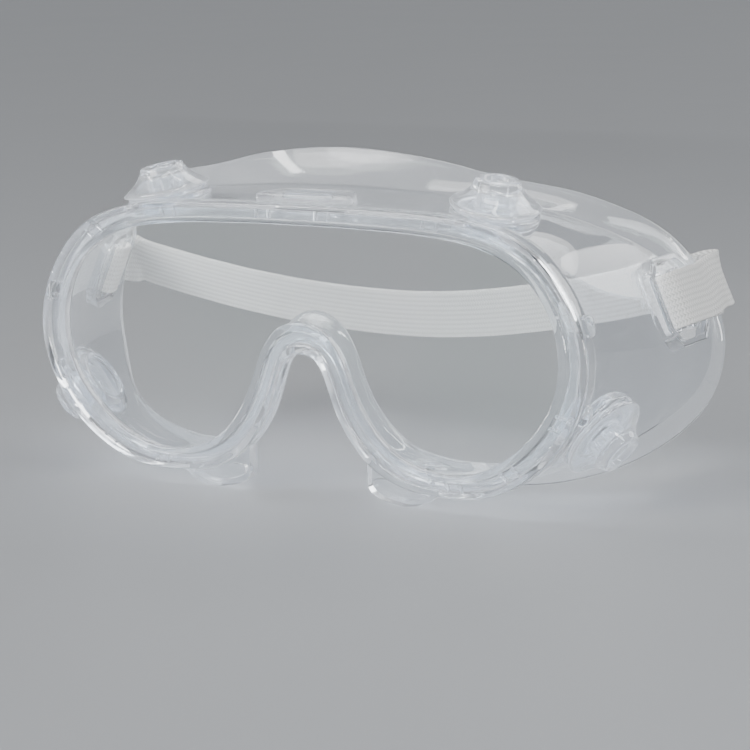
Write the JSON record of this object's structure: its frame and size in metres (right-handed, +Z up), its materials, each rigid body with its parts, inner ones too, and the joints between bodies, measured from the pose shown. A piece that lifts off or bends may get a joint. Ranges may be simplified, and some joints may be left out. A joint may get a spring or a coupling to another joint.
{
  "type": "safety goggles",
  "caption": "Clear indirect-vent safety goggles with a flat lens in a soft moulded frame, round splash-proof valves and an elastic head strap.",
  "frame": {"origin": "centre of the lens opening, on the plane of the front rim's face, between the two lens halves", "axes": "+Z up, +X to the right of somebody looking at the front of the lens, -Y out of the front of the lens"},
  "size_m": [0.1989, 0.0652, 0.0906],
  "materials": {
    "clear_pvc": "very clear glossy soft PVC with a slight cool tint and bright edges",
    "lens_polycarbonate": "clear polished sheet with a faint anti-fog sheen",
    "valve_seat_plastic": "clear glossy moulded plastic",
    "valve_cap_plastic": "slightly milky translucent moulded plastic",
    "strap_elastic": "off-white ribbed knitted elastic"
  },
  "bodies": {
    "frame": {"frame_body": "clear_pvc", "lens": "lens_polycarbonate", "valve_seat_upper_right": "valve_seat_plastic", "valve_seat_upper_left": "valve_seat_plastic", "valve_seat_lower_right": "valve_seat_plastic", "valve_seat_lower_left": "valve_seat_plastic", "strap_end_left": "strap_elastic", "strap_end_right": "strap_elastic"},
    "strap": {"strap_band": "strap_elastic"},
    "cap_upper_right": {"valve_cap_upper_right": "valve_cap_plastic"},
    "cap_upper_left": {"valve_cap_upper_left": "valve_cap_plastic"},
    "cap_lower_right": {"valve_cap_lower_right": "valve_cap_plastic"},
    "cap_lower_left": {"valve_cap_lower_left": "valve_cap_plastic"}
  },
  "joints": [
    {"name": "strap_swing", "type": "hinge", "parent": "frame", "child": "strap", "pos_m": [0, 0.061, 0.0115], "axis": [0.9996, 0, 0.0269], "range_deg": [-30, 18]},
    {"name": "cap_turn_upper_right", "type": "hinge", "parent": "frame", "child": "cap_upper_right", "pos_m": [0.05009, 0.01688, 0.03528], "axis": [0.1741, -0.0737, 0.982], "continuous": true},
    {"name": "cap_turn_upper_left", "type": "hinge", "parent": "frame", "child": "cap_upper_left", "pos_m": [-0.05009, 0.01688, 0.03528], "axis": [-0.1741, -0.0737, 0.982], "continuous": true},
    {"name": "cap_turn_lower_right", "type": "hinge", "parent": "frame", "child": "cap_lower_right", "pos_m": [0.0785, 0.01633, -0.01936], "axis": [0.8002, -0.17, -0.5751], "continuous": true},
    {"name": "cap_turn_lower_left", "type": "hinge", "parent": "frame", "child": "cap_lower_left", "pos_m": [-0.0785, 0.01633, -0.01936], "axis": [-0.8002, -0.17, -0.5751], "continuous": true}
  ]
}
